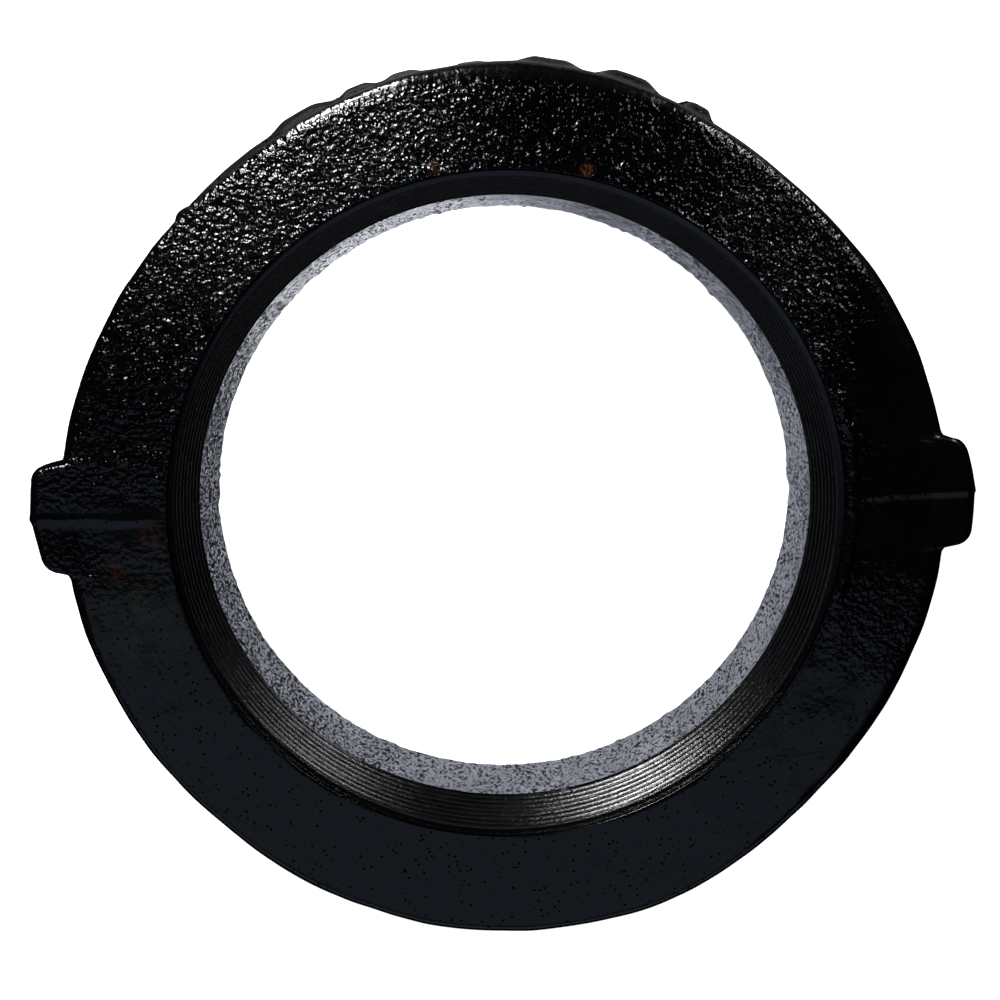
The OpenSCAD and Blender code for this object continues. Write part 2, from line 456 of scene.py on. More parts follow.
# Raised marks on the outside of the nut: middle and half width in degrees, and height
MARKS = ((62.6, 2.3, 1.5), (72.4, 4.3, 1.35), (82.8, 4.2, 1.05), (93.0, 2.0, 0.3), (101.8, 2.4, 0.55),
         (108.0, 2.4, 0.7), (116.2, 4.4, 0.85), (136.5, 1.0, 0.6), (301.0, 1.2, 0.7), (304.5, 1.0, 0.7))
MARK_DEPTHS = (6.5, 17.0)              # depth of their upper and lower ends

# The parting line's ridge, on the +X and on the -X side
PARTING_WIDE = (0.42, 0.55)
PARTING_HIGH = (0.13, 0.2)
PARTING_STEP = 0.1                     # half the step between the two sides

# The ridge of paint beside the mouth, near the +X lug
RIDGE_HIGH = 0.75                      # height of the ridge
RIDGE_WIDE = 0.38                      # half its width
RIDGE_ENDS = (-19, 20)                 # degrees round from the lug

# Places in plan where the casting differs: x, y and radius
SAND_PATCH = (63, -21, 15)             # coarse patch in the smoother lower half
SMOOTH_PATCH = (-66, 12, 15)           # smooth place beside the -X lug


def marks(points):
    """Height of the raised marks, plain worn pads in a row."""
    angle = np.degrees(np.arctan2(points[:, 1], points[:, 0])) % 360
    depth = RIM_Z - points[:, 2]
    outside = smooth(np.hypot(points[:, 0], points[:, 1]), NUT_R - 5, NUT_R - 3.4)
    tall = smooth(depth, MARK_DEPTHS[0] - 1.6, MARK_DEPTHS[0] + 0.6)
    tall *= 1 - smooth(depth, MARK_DEPTHS[1] - 0.6, MARK_DEPTHS[1] + 1.6)
    out = np.zeros(len(points))
    for middle, half, height in MARKS:
        off = np.abs(angle - middle) / half
        out = np.maximum(out, height * (1 - smooth(off, 0.4, 1.15)))
    return out * tall * outside


def parting(points):
    """Ridge and step that the mould's parting line leaves along the lugs and down the sides."""
    radius = np.abs(points[:, 0])
    wander = 0.35 * bumps(points * (1, 0, 1), 9, 41)
    y = points[:, 1] - wander
    width = np.where(points[:, 0] > 0, *PARTING_WIDE) * (1 + 0.3 * bumps(points, 3, 42))
    height = np.where(points[:, 0] > 0, *PARTING_HIGH) * (1 + 0.5 * bumps(points, 2.2, 43))
    ridge = height * np.exp(-(y / width) ** 2)
    step = PARTING_STEP * np.tanh(y / 0.6) * np.exp(-(y / 5) ** 2)
    return (ridge + step) * smooth(radius, LIP_R + 1, LIP_R + 5)


def paint_ridge(points):
    """Ragged ridge of paint that stands beside the mouth near one lug."""
    angle = (np.degrees(np.arctan2(points[:, 1], points[:, 0])) + 180) % 360 - 180
    radius = np.hypot(points[:, 0], points[:, 1])
    middle = LIP_R + 0.7 + 0.9 * smooth(angle, -20, 5) + 0.5 * bumps(points, 5, 51)
    start, end = RIDGE_ENDS
    part = smooth(angle, start, start + 4) * (1 - smooth(angle, end - 5, end)) * (points[:, 2] > RIM_Z - 2)
    ragged = 1 + 0.5 * bumps(points, 2.4, 52)
    return RIDGE_HIGH * ragged * part * np.exp(-((radius - middle) / RIDGE_WIDE) ** 2)


def away(points, patch):
    """Distance in plan from the middle of a patch."""
    return np.hypot(points[:, 0] - patch[0], points[:, 1] - patch[1])


def cast_share(points):
    """1 on the nut's as-cast outside and 0 on its machined faces."""
    radius = np.hypot(points[:, 0], points[:, 1])
    depth = RIM_Z - points[:, 2]
    share = smooth(radius, LIP_R - 0.05, LIP_R + 0.6)
    share *= 1 - smooth(depth, NUT_H - 0.6, NUT_H) * (radius < NUT_FOOT_R - 2)
    return share * (1 - smooth(depth, 3.2, 3.6) * (radius < RELIEF_R + 1.2))


def sand_share(points):
    """How coarse the nut's sand grain is, from 0 to 1."""
    x, y = points[:, 0], points[:, 1]
    depth = RIM_Z - points[:, 2]
    upper = 0.25 + 0.75 * smooth(y + 9 * bumps(points, 24, 5), -14, 14)
    beside_right_lug = 1 - 0.85 * smooth(x, 53, 68)
    left_parting = 1 - 0.8 * np.exp(-(y / 3.5) ** 2) * smooth(-x, 50, 58)
    smooth_patch = 1 - 0.6 * np.exp(-(away(points, SMOOTH_PATCH) / SMOOTH_PATCH[2]) ** 2)
    sand_patch = 0.55 * (1 - smooth(away(points, SAND_PATCH), 7, SAND_PATCH[2]))
    rim = 1 - 0.8 * smooth(np.hypot(x, y), NUT_R - 3.5, NUT_R - 2) * smooth(x, -52, -44)
    side = 1 - 0.6 * smooth(depth, FACE_FALL + 0.3, FACE_FALL + 2.5)
    return np.maximum(upper * beside_right_lug * left_parting * smooth_patch, sand_patch) * rim * side


def sag(points):
    """Where the rim droops at the upper left."""
    angle = np.degrees(np.arctan2(points[:, 1], points[:, 0]))
    outward = smooth(np.hypot(points[:, 0], points[:, 1]), 64, NUT_R)
    return -0.9 * outward * np.exp(-((angle - 124) / 17) ** 2) * (RIM_Z - points[:, 2] < 9)


def nut_relief(points):
    """The sand casting's relief: long waves, coarse grain above and a smoother half below."""
    waves = 0.2 * bumps(points, 15, 11) + 0.1 * bumps(points, 6, 12) + sag(points)
    grain = 0.1 * bumps(points, 3.0, 15) + 0.07 * bumps(points, 1.7, 13) + 0.08 * bumps(points, 1.05, 14)
    rough = waves + sand_share(points) * grain + parting(points) + paint_ridge(points)
    return cast_share(points) * rough + marks(points)


# ---------------------------------------------------------------- the tail piece

def bevel_radius(depth, angle):
    """The turned bevel: wide lands with a thin spiral groove between them."""
    straight = MOUTH_R + (BEVEL_R - MOUTH_R) * depth / BEVEL_H
    turn = (depth / GROOVE_PITCH - angle / TAU) % 1
    groove = GROOVE_DEEP * np.exp(-((turn - 0.5) / GROOVE_WIDE) ** 2)
    land = LAND_CROWN * np.cos(TAU * turn)
    share = smooth(depth, 0.5, 0.9) * (1 - smooth(depth, BEVEL_H - 0.25, BEVEL_H - 0.05))
    return straight + share * (groove - land)


def build_tail():
    """The tail piece: grooved bevel and rough bore on the fine side, nose and collar on the other."""
    mouth = path(
        between((NECK_R, 3.0), (NECK_R, 0.0), 4),
        between((NECK_R, 0.0), (MOUTH_R + 0.02, MOUTH_CHAMFER), 4))
    bevel = between((MOUTH_R, MOUTH_CHAMFER + 0.02), (BEVEL_R, BEVEL_H), 88)
    bore = path(
        between((BEVEL_R + 0.02, BEVEL_H + 0.05), (THROAT_R, THROAT_H), 24),
        between((THROAT_R, THROAT_H), (NOSE_R, TAIL_H), 4))
    section = path(mouth, bevel, bore)
    radius, depth, angle = turned_grid(section, RING_COLUMNS)
    turned = slice(len(mouth), len(mouth) + len(bevel))
    radius[turned] = bevel_radius(depth[turned], angle[turned])
    fine = place(radius, depth, angle)

    groove_out = SEAL_R + SEAL_WIRE + SEAL_PLAY
    groove_in = SEAL_R - SEAL_WIRE - SEAL_PLAY
    groove_top = TAIL_H - 2 * SEAL_WIRE
    cone_h = SEAT_R - CONE_R - EDGE
    foot = TAIL_H - cone_h
    outer = path(
        (NOSE_R + 0.3, TAIL_H),
        between((groove_in, TAIL_H), (groove_in, groove_top), 3),
        between((groove_in, groove_top), (groove_out, groove_top), 4),
        between((groove_out, groove_top), (groove_out, TAIL_H), 3),
        (groove_out + 0.1, TAIL_H),
        between((CONE_R, TAIL_H), (CONE_R + cone_h, foot), 6),
        (CONE_R + cone_h + 0.3, foot),
        (COLLAR_R - EDGE, foot),
        between((COLLAR_R, foot - EDGE), (COLLAR_R, LIP_T + 0.65), 4),
        (COLLAR_R - EDGE, LIP_T + LIP_PLAY),
        (NECK_R + 0.4, LIP_T + LIP_PLAY),
        between((NECK_R, LIP_T - 0.3), (NECK_R, 3.4), 4))
    coarse = place(*turned_grid(outer, RING_COLUMNS // SEAM))
    tail = ring_mesh("tail_casting", fine, coarse)
    relief(tail, tail_relief)
    tail.data.set_sharp_from_angle(angle=SHARP)
    return tail


def tail_relief(points):
    """Rough as-cast wall below the bevel. All other faces stay as turned."""
    depth = RIM_Z - points[:, 2]
    inside = np.hypot(points[:, 0], points[:, 1]) < BEVEL_R + 0.3
    rough = inside * smooth(depth, BEVEL_H + 0.1, BEVEL_H + 0.8)
    rough *= 1 - smooth(depth, TAIL_H - 0.8, TAIL_H)
    grain = 0.10 * bumps(points, 4.0, 21) + 0.10 * bumps(points, 1.4, 22) + 0.07 * bumps(points, 0.9, 23)
    lumps = 0.28 * pits(points, 1.9, 0.4, 24)
    step = 0.16 * np.tanh(points[:, 1] / 0.5) * np.exp(-(points[:, 1] / 5) ** 2)
    return rough * (grain + lumps + step)


# ---------------------------------------------------------------- the head piece

CORNER_CUT = 0.6                       # how far the octagon's corners are turned off
CORNER_SOFT = 0.5                      # how softly the flats run into the turned corners


def octagon(angle):
    """Radius of the octagonal collar, with its corners turned off."""
    off = (angle + math.pi / 8) % (math.pi / 4) - math.pi / 8
    flat = FLATS_R / np.cos(off)
    corner = FLATS_R / math.cos(math.pi / 8) - CORNER_CUT
    return corner - CORNER_SOFT * np.log(np.exp((corner - flat) / CORNER_SOFT) + 1)


def build_head():
    """The head piece: thread and octagonal collar on the fine side, socket and seat on the other."""
    root = THREAD_R - THREAD_HALF - THREAD_PLAY
    screw = between((root, HEAD_RIM + 0.4), (root, FLANGE_TOP - 1.2), 62)
    undercut = path(
        between((root - 0.1, FLANGE_TOP - 1.1), (root - 0.1, FLANGE_TOP - 0.3), 3),
        between((root + 0.3, FLANGE_TOP), (root + 2.4, FLANGE_TOP), 3))
    # Here radius is 0 at the collar's root and 1 at its flats, and the round goes beyond 1.
    collar = path(
        between((0.0, FLANGE_TOP), (1.0, FLANGE_TOP), 6),
        arc((1.0, FLANGE_TOP + COLLAR_ROUND), COLLAR_ROUND, 90, 0, 5),
        between((1.0, FLANGE_TOP + COLLAR_ROUND), (1.0, HEAD_H - COLLAR_ROUND), 8),
        arc((1.0, HEAD_H - COLLAR_ROUND), COLLAR_ROUND, 0, -90, 5))
    section = path(screw, undercut, collar)
    radius, depth, angle = turned_grid(section, RING_COLUMNS)
    ridges = slice(0, len(screw))
    cut = thread(depth[ridges], angle[ridges], THREAD_R - THREAD_PLAY)
    cut = np.minimum(cut, root + 0.2 + (depth[ridges] - HEAD_RIM))
    cut = np.minimum(cut, root + 0.9 * (FLANGE_TOP - 1.0 - depth[ridges]))
    radius[ridges] = np.maximum(cut, root - 0.1)
    flange = slice(len(screw) + len(undercut), len(section))
    share = np.minimum(collar[:, :1], 1.0)
    extra = collar[:, :1] - share
    outline = octagon(angle[flange]) - COLLAR_ROUND
    radius[flange] = (1 - share) * (root + 2.9) + share * outline + extra
    fine = place(radius, depth, angle)

    stop = HEAD_H - SOCKET_H               # depth of the shoulder that the pipe stops against
    inner = path(
        between((SOCKET_R + 7.5, HEAD_H), (SOCKET_R + 0.9, HEAD_H), 5),
        between((SOCKET_R + 0.6, HEAD_H - 0.05), (SOCKET_R, HEAD_H - 0.6), 2),
        between((SOCKET_R, HEAD_H - 0.7), (SOCKET_R, stop + 0.3), 10),
        (SOCKET_R - 0.3, stop),
        between((SOCKET_R - 0.8, stop), (STOP_R + 0.3, stop), 3),
        between((STOP_R, stop - 0.3), (STOP_R, SEAT_FOOT), 3),
        between((STOP_R + 0.1, SEAT_FOOT), (SEAT_R, SEAT_FOOT), 3),
        between((SEAT_R, SEAT_FOOT - 0.1), (SEAT_R, HEAD_RIM + EDGE), 4),
        (SEAT_R + EDGE, HEAD_RIM),
        (root - 0.8, HEAD_RIM))
    coarse = place(*turned_grid(inner, RING_COLUMNS // SEAM))
    head = ring_mesh("head_casting", fine, coarse)
    relief(head, head_relief)
    head.data.set_sharp_from_angle(angle=SHARP)
    return head


def head_relief(points):
    """Sand-cast grain on the octagonal collar only."""
    depth = RIM_Z - points[:, 2]
    radius = np.hypot(points[:, 0], points[:, 1])
    cast = smooth(radius, THREAD_R + 0.9, THREAD_R + 1.9) * smooth(depth, FLANGE_TOP - 0.3, FLANGE_TOP)
    cast *= 1 - smooth(depth, HEAD_H - 0.5, HEAD_H - 0.05)
    grain = 0.16 * bumps(points, 7, 31) + 0.12 * bumps(points, 1.9, 32) + 0.08 * bumps(points, 1.1, 33)
    return cast * (grain - 0.2 * pits(points, 2.8, 0.3, 34))


# ---------------------------------------------------------------- materials

class Nodes:
    """A material's node tree, with short calls to add and join nodes."""

    def __init__(self, name, colour, roughness, metallic=0.0, specular=0.5):
        self.material = bpy.data.materials.new(name)
        self.material.use_nodes = True
        self.tree = self.material.node_tree
        self.shader = self.tree.nodes["Principled BSDF"]
        self.shader.inputs["Base Color"].default_value = (*colour, 1)
        self.shader.inputs["Roughness"].default_value = roughness
        self.shader.inputs["Metallic"].default_value = metallic
        self.shader.inputs["Specular IOR Level"].default_value = specular
        coords = self.tree.nodes.new("ShaderNodeTexCoord")
        self.place = coords.outputs["Object"]

    def add(self, kind, inputs, **settings):
        """A new node with these settings. An input is a socket to join or a value to set."""
        node = self.tree.nodes.new(kind)
        for key, value in settings.items():
            setattr(node, key, value)
        for key, value in inputs.items():
            if isinstance(value, bpy.types.NodeSocket):
                self.tree.links.new(value, node.inputs[key])
            else:
                node.inputs[key].default_value = value
        return node

    def join(self, socket, name):
        """Joins a socket to one of the shader's inputs."""
        self.tree.links.new(socket, self.shader.inputs[name])

    def noise(self, size_mm, detail=3.0, rough=0.55, place=None):
        """Noise with features of this size."""
        node = self.add("ShaderNodeTexNoise", {
            "Vector": place or self.place, "Scale": 1 / (size_mm * MM),
            "Detail": detail, "Roughness": rough})
        return node.outputs["Fac"]

    def dots(self, size_mm, low, high):
        """1 in small dots, one for each cell of this size, and 0 between them. A dot fades from low
        to high, which are shares of the cell."""
        node = self.add("ShaderNodeTexVoronoi", {"Vector": self.place, "Scale": 1 / (size_mm * MM)})
        return self.ramp(node.outputs["Distance"], high, low)

    def ramp(self, value, low, high, out_low=0.0, out_high=1.0):
        """value from low to high turned into out_low to out_high, clamped."""
        node = self.add("ShaderNodeMapRange", {
            0: value, 1: low, 2: high, 3: out_low, 4: out_high})
        return node.outputs[0]

    def math(self, operation, a, b=0.0):
        """The result of a Math node. Each of a and b is a socket or a number."""
        return self.add("ShaderNodeMath", {0: a, 1: b}, operation=operation).outputs[0]

    def mix(self, factor, a, b):
        """Colour a where factor is 0 and b where it is 1."""
        node = self.add("ShaderNodeMix", {0: factor}, data_type="RGBA")
        for index, value in ((6, a), (7, b)):
            if isinstance(value, bpy.types.NodeSocket):
                self.tree.links.new(value, node.inputs[index])
            else:
                node.inputs[index].default_value = (*value, 1)
        return node.outputs[2]

    def near(self, x_mm, y_mm, radius_mm):
        """1 at a place in plan and 0 beyond a radius from it."""
        middle = (x_mm * MM, y_mm * MM, 0)
        distance = self.add("ShaderNodeVectorMath", {0: self.stretched(1, 1, 0), 1: middle},
                            operation="DISTANCE")
        return self.ramp(distance.outputs["Value"], radius_mm * MM * 0.3, radius_mm * MM, 1.0, 0.0)

    def stretched(self, x, y, z):
        """The place with its coordinates multiplied, so that a pattern shrinks along them."""
        return self.add("ShaderNodeVectorMath", {0: self.place, 1: (x, y, z)},
                        operation="MULTIPLY").outputs[0]

    def axis(self, name):
        """One of the point's coordinates, X, Y or Z, in metres."""
        return self.add("ShaderNodeSeparateXYZ", {0: self.place}).outputs[name]

    def bump(self, height, distance_mm, strength=1.0, under=None):
        """A normal that follows a height from 0 to 1, this many millimetres high."""
        inputs = {"Height": height, "Distance": distance_mm * MM, "Strength": strength}
        if under:
            inputs["Normal"] = under
        return self.add("ShaderNodeBump", inputs).outputs[0]


# Marks in the castings' paint, four stains and last a faint olive tint at the lower left: x, y and radius
# in millimetres, and colour
PAINT_MARKS = ((14.9, 56.8, 1.6, (0.05, 0.018, 0.006)), (-10.6, 57.6, 1.6, (0.03, 0.011, 0.004)),
          (-60.0, -3.0, 3.4, (0.012, 0.004, 0.003)), (-67.0, -9.0, 3.0, (0.013, 0.005, 0.003)),
          (-63.0, -18.0, 10.0, (0.005, 0.005, 0.0022)))

# Places where the paint's grain is fainter or stronger: x, y and radius in millimetres, and its share
GRAIN_PATCHES = ((-32.0, 60.0, 34.0, 1.35), (18.0, 63.0, 32.0, 0.68),
                 (-64.0, 20.0, 24.0, 0.6), (64.0, 18.0, 20.0, 0.6))


def grain_share(n):
    """How coarse the sand grain is: full above the parting line, but fading towards the +X lug, on
    the rim's corner and beside the parting line, and faint below except on the sand patch."""
    height = n.math("ADD", n.axis("Y"), n.ramp(n.noise(30), 0.3, 0.7, -0.012, 0.012))
    upper = n.ramp(height, -0.015, 0.01, 0.1, 1.0)
    side = n.ramp(n.axis("X"), 0.053, 0.068, 1.0, 0.15)
    from_axis = n.add("ShaderNodeVectorMath", {0: n.stretched(1, 1, 0)}, operation="LENGTH")
    rim = n.ramp(from_axis.outputs["Value"], (NUT_R - 3.5) * MM, (NUT_R - 2.0) * MM)
    corner = n.math("MULTIPLY", rim, n.ramp(n.axis("X"), -0.052, -0.044))
    share = n.math("MULTIPLY", n.math("MULTIPLY", upper, side), n.ramp(corner, 0.0, 1.0, 1.0, 0.2))
    beside = n.ramp(n.math("ABSOLUTE", n.axis("Y")), 0.0015, 0.006, 0.25, 1.0)
    off_lug = n.ramp(n.axis("X"), -0.058, -0.05)
    share = n.math("MULTIPLY", share, n.math("MAXIMUM", beside, off_lug))
    for x, y, radius, kept in GRAIN_PATCHES:
        share = n.math("MULTIPLY", share, n.ramp(n.near(x, y, radius), 0.0, 1.0, 1.0, kept))
    return n.math("MAXIMUM", share, n.ramp(n.near(*SAND_PATCH), 0.0, 1.0, 0.0, 0.5))


def casting_paint(name, colour):
    """Gloss black paint over a sand casting: grain, dark pits, stains and a little rust."""
    n = Nodes(name, colour, 0.2)
    coarse = grain_share(n)
    n.join(n.bump(n.math("MULTIPLY", n.noise(0.88, 1.5, 0.45), coarse), 0.58, 1.0), "Normal")
    few = n.ramp(n.noise(2.2, 2), 0.44, 0.54)
    pit = n.math("MULTIPLY", n.dots(1.15, 0.13, 0.25), few)
    n.join(n.ramp(pit, 0.0, 0.6, 0.5, 0.0), "Specular IOR Level")
    wear = n.ramp(n.noise(4, 5, 0.7), 0.66, 0.74)
    rust_place = n.ramp(n.noise(16, 2), 0.58, 0.68)
    rust = n.math("MULTIPLY", n.math("MULTIPLY", wear, rust_place), 0.55)
    film = n.mix(n.ramp(n.noise(9, 4), 0.4, 0.65), colour, tuple(c * 1.9 for c in colour))
    for x, y, radius, mark_colour in PAINT_MARKS:
        ragged = n.ramp(n.noise(radius * 0.35, 4, 0.6), 0.42, 0.58)
        film = n.mix(n.math("MULTIPLY", n.near(x, y, radius), ragged), film, mark_colour)
    n.join(n.mix(rust, film, (0.10, 0.032, 0.012)), "Base Color")
    uneven = n.ramp(n.noise(3.5, 4, 0.65), 0.3, 0.7, -0.015, 0.02)
    gloss = n.math("ADD", uneven, n.ramp(coarse, 0.1, 0.6, 0.2, 0.075))
    n.join(n.math("ADD", gloss, n.math("MULTIPLY", rust, 0.6)), "Roughness")
    return n.material


def groove_floor(n):
    """1 on the floor of the bevel's spiral groove and 0 on its lands, as bevel_radius() shapes them."""
    spot = n.add("ShaderNodeSeparateXYZ", {0: n.place})
    angle = n.math("ARCTAN2", spot.outputs["Y"], spot.outputs["X"])
    depth = n.math("SUBTRACT", RIM_Z * MM, spot.outputs["Z"])
    rows = n.math("DIVIDE", depth, GROOVE_PITCH * MM)
    turn = n.math("FLOORED_MODULO", n.math("SUBTRACT", rows, n.math("DIVIDE", angle, TAU)), 1.0)
    off = n.math("ABSOLUTE", n.math("SUBTRACT", turn, 0.5))
    return n.ramp(off, 0.12, 0.3, 1.0, 0.0)


def turned_black():
    """Blackened turned bevel, satin, with faint feed marks, and with painted shade in its grooves on the
    +Y half, where their reflection is turned down.
    """
    n = Nodes("turned_black", (0.0007, 0.0007, 0.0009), 0.15)
    stretch = n.stretched(1, 1, 14)
    feed = n.bump(n.noise(1.6, 4, 0.6, stretch), 0.05, 0.5)
    n.join(n.bump(n.noise(0.5, 3, 0.65), 0.09, 0.8, feed), "Normal")
    n.join(n.ramp(n.noise(2.4, 4, 0.6, stretch), 0.3, 0.7, 0.1, 0.18), "Roughness")
    film = n.mix(n.ramp(n.noise(7, 4), 0.35, 0.7), (0.0005, 0.0005, 0.0007), (0.0011, 0.0011, 0.0014))
    n.join(film, "Base Color")
    # Painted shade: the groove floors reflect less, but only towards +Y, so that they read as dark lines
    # there.
    painted_groove_shade = n.math("MULTIPLY", groove_floor(n), n.ramp(n.axis("Y"), 0.0, 0.03))
    n.join(n.ramp(painted_groove_shade, 0.0, 1.0, 0.6, 0.12), "Specular IOR Level")
    return n.material


def bare_bore():
    """Blue-grey as-cast wall, with a painted pool of light that makes it paler at one place at the upper
    left, and black specks that crowd towards -X.
    """
    pale, dark, black = (0.030, 0.033, 0.041), (0.021, 0.023, 0.029), (0.001, 0.001, 0.0012)
    n = Nodes("bare_bore", pale, 0.5)
    wall_tone_and_painted_light = n.mix(n.ramp(n.noise(6, 5, 0.6), 0.35, 0.65), dark, pale)
    # Painted light: the wall's colour is made paler round this place at the upper left, as a pool of light
    # on it.
    wall_tone_and_painted_light = n.mix(n.near(-24, 44, 38), wall_tone_and_painted_light, (0.098, 0.103, 0.118))
    towards_left = n.ramp(n.axis("X"), -0.047, -0.012, 0.075, 0.0)
    crowd = n.math("ADD", n.ramp(n.noise(9, 3), 0.35, 0.7, -0.045, 0.015), towards_left)
    specks = n.ramp(n.math("ADD", n.noise(0.55, 1, 0.5), crowd), 0.54, 0.56)
    some = n.ramp(n.math("ADD", n.noise(3, 2), crowd), 0.42, 0.46)
    dots = n.math("MULTIPLY", n.dots(0.8, 0.24, 0.3), some)
    n.join(n.mix(n.math("MAXIMUM", specks, dots), wall_tone_and_painted_light, black), "Base Color")
    n.join(n.bump(n.noise(0.7, 3, 0.6), 0.25, 0.6), "Normal")
    n.join(n.ramp(n.noise(2, 3), 0.3, 0.7, 0.35, 0.6), "Roughness")
    return n.material


def machined_iron():
    """Bare machined iron of the threads and the seat faces, lightly oiled."""
    n = Nodes("machined_iron", (0.16, 0.16, 0.165), 0.36, metallic=0.85)
    feed = n.noise(1.2, 4, 0.6, n.stretched(1, 1, 20))
    n.join(n.bump(feed, 0.03, 0.5), "Normal")
    n.join(n.ramp(feed, 0.3, 0.7, 0.28, 0.45), "Roughness")
    cloud = n.ramp(n.noise(5, 5, 0.65), 0.35, 0.7)
    n.join(n.mix(cloud, (0.12, 0.12, 0.125), (0.24, 0.235, 0.23)), "Base Color")
    return n.material


def bronze():
    """Turned bronze of the seat ring, a little tarnished."""
    n = Nodes("seat_bronze", (0.5, 0.3, 0.13), 0.28, metallic=1.0)
    feed = n.noise(1.0, 4, 0.6, n.stretched(1, 1, 25))
    n.join(n.bump(feed, 0.02, 0.4), "Normal")
    n.join(n.ramp(feed, 0.3, 0.7, 0.2, 0.38), "Roughness")
    tarnish = n.ramp(n.noise(6, 4), 0.35, 0.7)
    n.join(n.mix(tarnish, (0.38, 0.22, 0.09), (0.58, 0.37, 0.17)), "Base Color")
    return n.material


def seal_rubber():
    """Matt black rubber with a faint bloom."""
    n = Nodes("seal_rubber", (0.02, 0.02, 0.021), 0.55)
    n.join(n.bump(n.noise(0.5, 3), 0.05, 0.4), "Normal")
    n.join(n.ramp(n.noise(2.5, 4), 0.3, 0.7, 0.45, 0.65), "Roughness")
    bloom = n.ramp(n.noise(3, 4), 0.4, 0.65)
    n.join(n.mix(bloom, (0.016, 0.016, 0.017), (0.03, 0.03, 0.031)), "Base Color")
    return n.material


def pale_stage(name, emission):
    """Plain pale surface of the studio floor, which glows like a light table."""
    n = Nodes(name, (0.9, 0.9, 0.9), 0.9, specular=0.0)
    n.shader.inputs["Emission Color"].default_value = (1, 1, 1, 1)
    n.shader.inputs["Emission Strength"].default_value = emission
    return n.material


def paint_faces(obj, materials, choose):
    """Gives obj these materials and each face the one whose number choose(centres) returns."""
    for material in materials:
        obj.data.materials.append(material)
    centres = np.zeros(len(obj.data.polygons) * 3)
    obj.data.polygons.foreach_get("center", centres)
    index = choose(centres.reshape(-1, 3) / MM).astype(np.int32)
    obj.data.polygons.foreach_set("material_index", index)
    obj.data.update()


def nut_finish(centres):
    """0 for painted casting, 1 for the machined thread, relief and shoulder."""
    radius = np.hypot(centres[:, 0], centres[:, 1])
    depth = RIM_Z - centres[:, 2]
    return (radius < RELIEF_R + 0.3) & (depth > LIP_T - 0.5)


def tail_finish(centres):
    """0 for the blackened bevel and neck, 1 for the as-cast bore, 2 for the machined nose."""
    radius = np.hypot(centres[:, 0], centres[:, 1])
    depth = RIM_Z - centres[:, 2]
    bore = (radius < BEVEL_R + 0.35) & (depth > BEVEL_H) & (depth < TAIL_H - 0.1)
    nose = (radius > NECK_R + 0.1) | (depth >= TAIL_H - 0.1)
    return np.select([nose, bore], [2, 1], 0)


def head_finish(centres):
    """0 for the painted collar, 1 for the machined thread, seat and socket."""
    radius = np.hypot(centres[:, 0], centres[:, 1])
    depth = RIM_Z - centres[:, 2]
    return (radius < THREAD_R + 1.3) & ((depth < FLANGE_TOP - 0.1) | (radius < SOCKET_R + 0.8))


# ---------------------------------------------------------------- camera, floor and light

CAMERA_DISTANCE = 0.5065
CAMERA_FIELD = 2 * math.atan(1 / 6)    # the picture is a third as wide as its distance
CAMERA_TILT = math.radians(11.0)       # between the line of sight and the waterway's axis
CAMERA_SIDE = math.radians(95.4)       # which way the camera leans, round from the lugs
CAMERA_ROLL = math.radians(88.4)       # the direction round from the lugs that is up in the picture
PICTURE_OFFSET = (-1.17, 1.65)         # millimetres, right and up, of the aim from the mouth's middle


def add_camera():
    """The camera, which looks down through the mouth a little from the +Y side."""
    back = Vector((math.cos(CAMERA_SIDE) * math.sin(CAMERA_TILT),
                   math.sin(CAMERA_SIDE) * math.sin(CAMERA_TILT), math.cos(CAMERA_TILT)))
    hint = Vector((math.cos(CAMERA_ROLL), math.sin(CAMERA_ROLL), 0))
    up = (hint - back * hint.dot(back)).normalized()
    right = up.cross(back)
    aim = Vector((0, 0, RIM_Z * MM)) + (right * PICTURE_OFFSET[0] + up * PICTURE_OFFSET[1]) * MM
    data = bpy.data.cameras.new("camera")
    data.angle = CAMERA_FIELD
    data.clip_start = 0.01
    camera = bpy.data.objects.new("camera", data)
    bpy.context.scene.collection.objects.link(camera)
    turn = Matrix((right, up, back)).transposed()
    camera.matrix_world = Matrix.Translation(aim + back * CAMERA_DISTANCE) @ turn.to_4x4()
    bpy.context.scene.camera = camera


def add_panel(name, azimuth, elevation, distance, size, watts, colour=(1, 1, 1)):
    """A soft light panel that faces the part. Azimuth is round from the +X lug, elevation is above
    the floor, both in degrees. Distance and size are in metres."""
    a, e = math.radians(azimuth), math.radians(elevation)
    way = Vector((math.cos(a) * math.cos(e), math.sin(a) * math.cos(e), math.sin(e)))
    data = bpy.data.lights.new(name, "AREA")
    data.shape = "RECTANGLE"
    data.size, data.size_y = size
    data.energy = watts
    data.color = colour
    light = bpy.data.objects.new(name, data)
    light.location = way * distance + Vector((0, 0, RIM_Z * MM / 2))
    light.rotation_euler = way.to_track_quat("Z", "Y").to_euler()
    bpy.context.scene.collection.objects.link(light)


TABLE_LIGHT_UP = 0.0003
FLOOR_DOWN = 0.0002
FLOOR_R = 1.6


def add_table_light(name, shape, middle, size, watts, glossy):
    """A light that lies on the floor and faces up, as of a light table. The camera doesn't see it."""
    data = bpy.data.lights.new(name, "AREA")
    data.shape = shape
    data.size, data.size_y = size
    data.energy = watts
    light = bpy.data.objects.new(name, data)
    light.location = (*middle, TABLE_LIGHT_UP)
    light.rotation_euler = (math.pi, 0, 0)
    light.visible_camera = False
    light.visible_glossy = glossy
    bpy.context.scene.collection.objects.link(light)


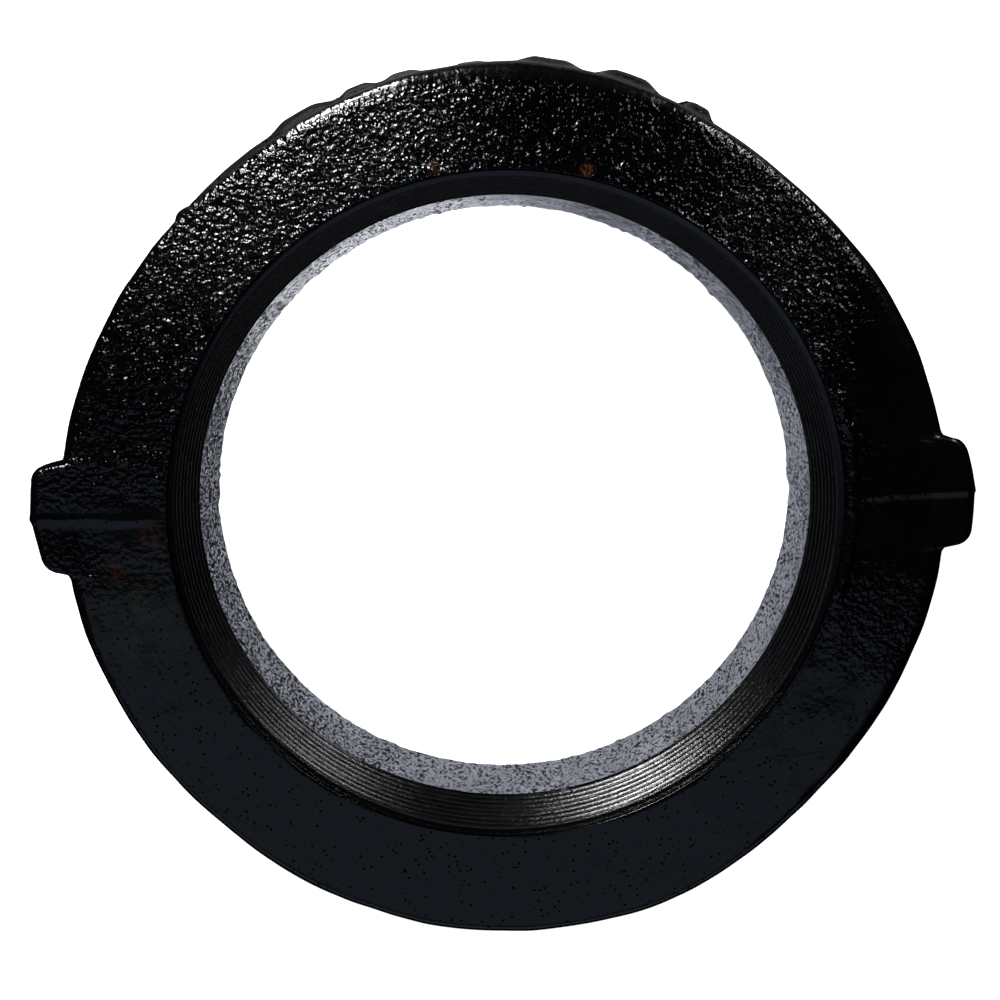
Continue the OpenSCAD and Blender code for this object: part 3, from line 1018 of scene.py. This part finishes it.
def add_floor():
    """A glowing round floor, which the part's gloss paint doesn't reflect."""
    bpy.ops.mesh.primitive_circle_add(
        vertices=96, radius=FLOOR_R, fill_type="NGON", location=(0, 0, -FLOOR_DOWN))
    floor = bpy.context.object
    floor.name = "studio_floor"
    floor.data.materials.append(pale_stage("studio_floor", 1.0))
    floor.visible_glossy = False


ROOM_COLOUR = (0.75, 0.85, 1.0, 1)
ROOM_STRENGTH = 0.006


def add_world():
    """A dim cool room that the gloss paint reflects, and a pale backdrop where the camera sees it."""
    world = bpy.data.worlds.new("studio")
    bpy.context.scene.world = world
    world.use_nodes = True
    tree = world.node_tree
    tree.nodes.clear()
    room = tree.nodes.new("ShaderNodeBackground")
    room.inputs["Color"].default_value = ROOM_COLOUR
    room.inputs["Strength"].default_value = ROOM_STRENGTH
    backdrop = tree.nodes.new("ShaderNodeBackground")
    backdrop.inputs["Color"].default_value = (1, 1, 1, 1)
    backdrop.inputs["Strength"].default_value = 1.0
    rays = tree.nodes.new("ShaderNodeLightPath")
    mix = tree.nodes.new("ShaderNodeMixShader")
    out = tree.nodes.new("ShaderNodeOutputWorld")
    tree.links.new(rays.outputs["Is Camera Ray"], mix.inputs[0])
    tree.links.new(room.outputs[0], mix.inputs[1])
    tree.links.new(backdrop.outputs[0], mix.inputs[2])
    tree.links.new(mix.outputs[0], out.inputs[0])


def add_lights():
    """Two low panels at the back and two higher ones that glint in the grain, two cool panels that
    fill the smoother front half, and the light table under the part."""
    add_panel("upper_left", 116, 18, 0.7, (0.17, 0.34), 8.5)
    add_panel("upper_right", 46, 14, 0.7, (0.1, 0.3), 1.5)
    add_panel("grain_left", 124, 40, 0.7, (0.2, 0.3), 1.4)
    add_panel("grain_right", 36, 36, 0.7, (0.14, 0.25), 0.45)
    add_panel("low_front", 260, 51, 0.8, (1.05, 0.58), 0.56, (0.62, 0.75, 1.0))
    add_panel("front_low", 262, 8, 0.9, (2.0, 0.35), 0.8, (0.7, 0.8, 1.0))
    add_table_light("bore_light", "DISK", (-0.004, 0.009), (0.08, 0.08), 0.6, False)
    add_table_light("back_light", "RECTANGLE", (0.0, 0.14), (0.24, 0.12), 0.026, True)


# ---------------------------------------------------------------- the scene

bpy.context.scene.view_settings.view_transform = "Standard"
add_camera()
add_floor()
add_world()
add_lights()

nut_paint = casting_paint("nut_paint", (0.0005, 0.0005, 0.0006))
head_paint = casting_paint("head_paint", (0.0018, 0.0019, 0.0023))
iron = machined_iron()

nut = build_nut()
paint_faces(nut, (nut_paint, iron), nut_finish)
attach(nut, "nut")
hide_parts("union_nut")

tail = build_tail()
paint_faces(tail, (turned_black(), bare_bore(), iron), tail_finish)
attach(tail, "tail")
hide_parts("tail_piece")

head = build_head()
paint_faces(head, (head_paint, iron), head_finish)
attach(head, "head")
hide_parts("head_piece")

for node, material in (("seat_ring", bronze()), ("seal_ring", seal_rubber())):
    for slot in frame["nodes"][node].material_slots:
        slot.material = material
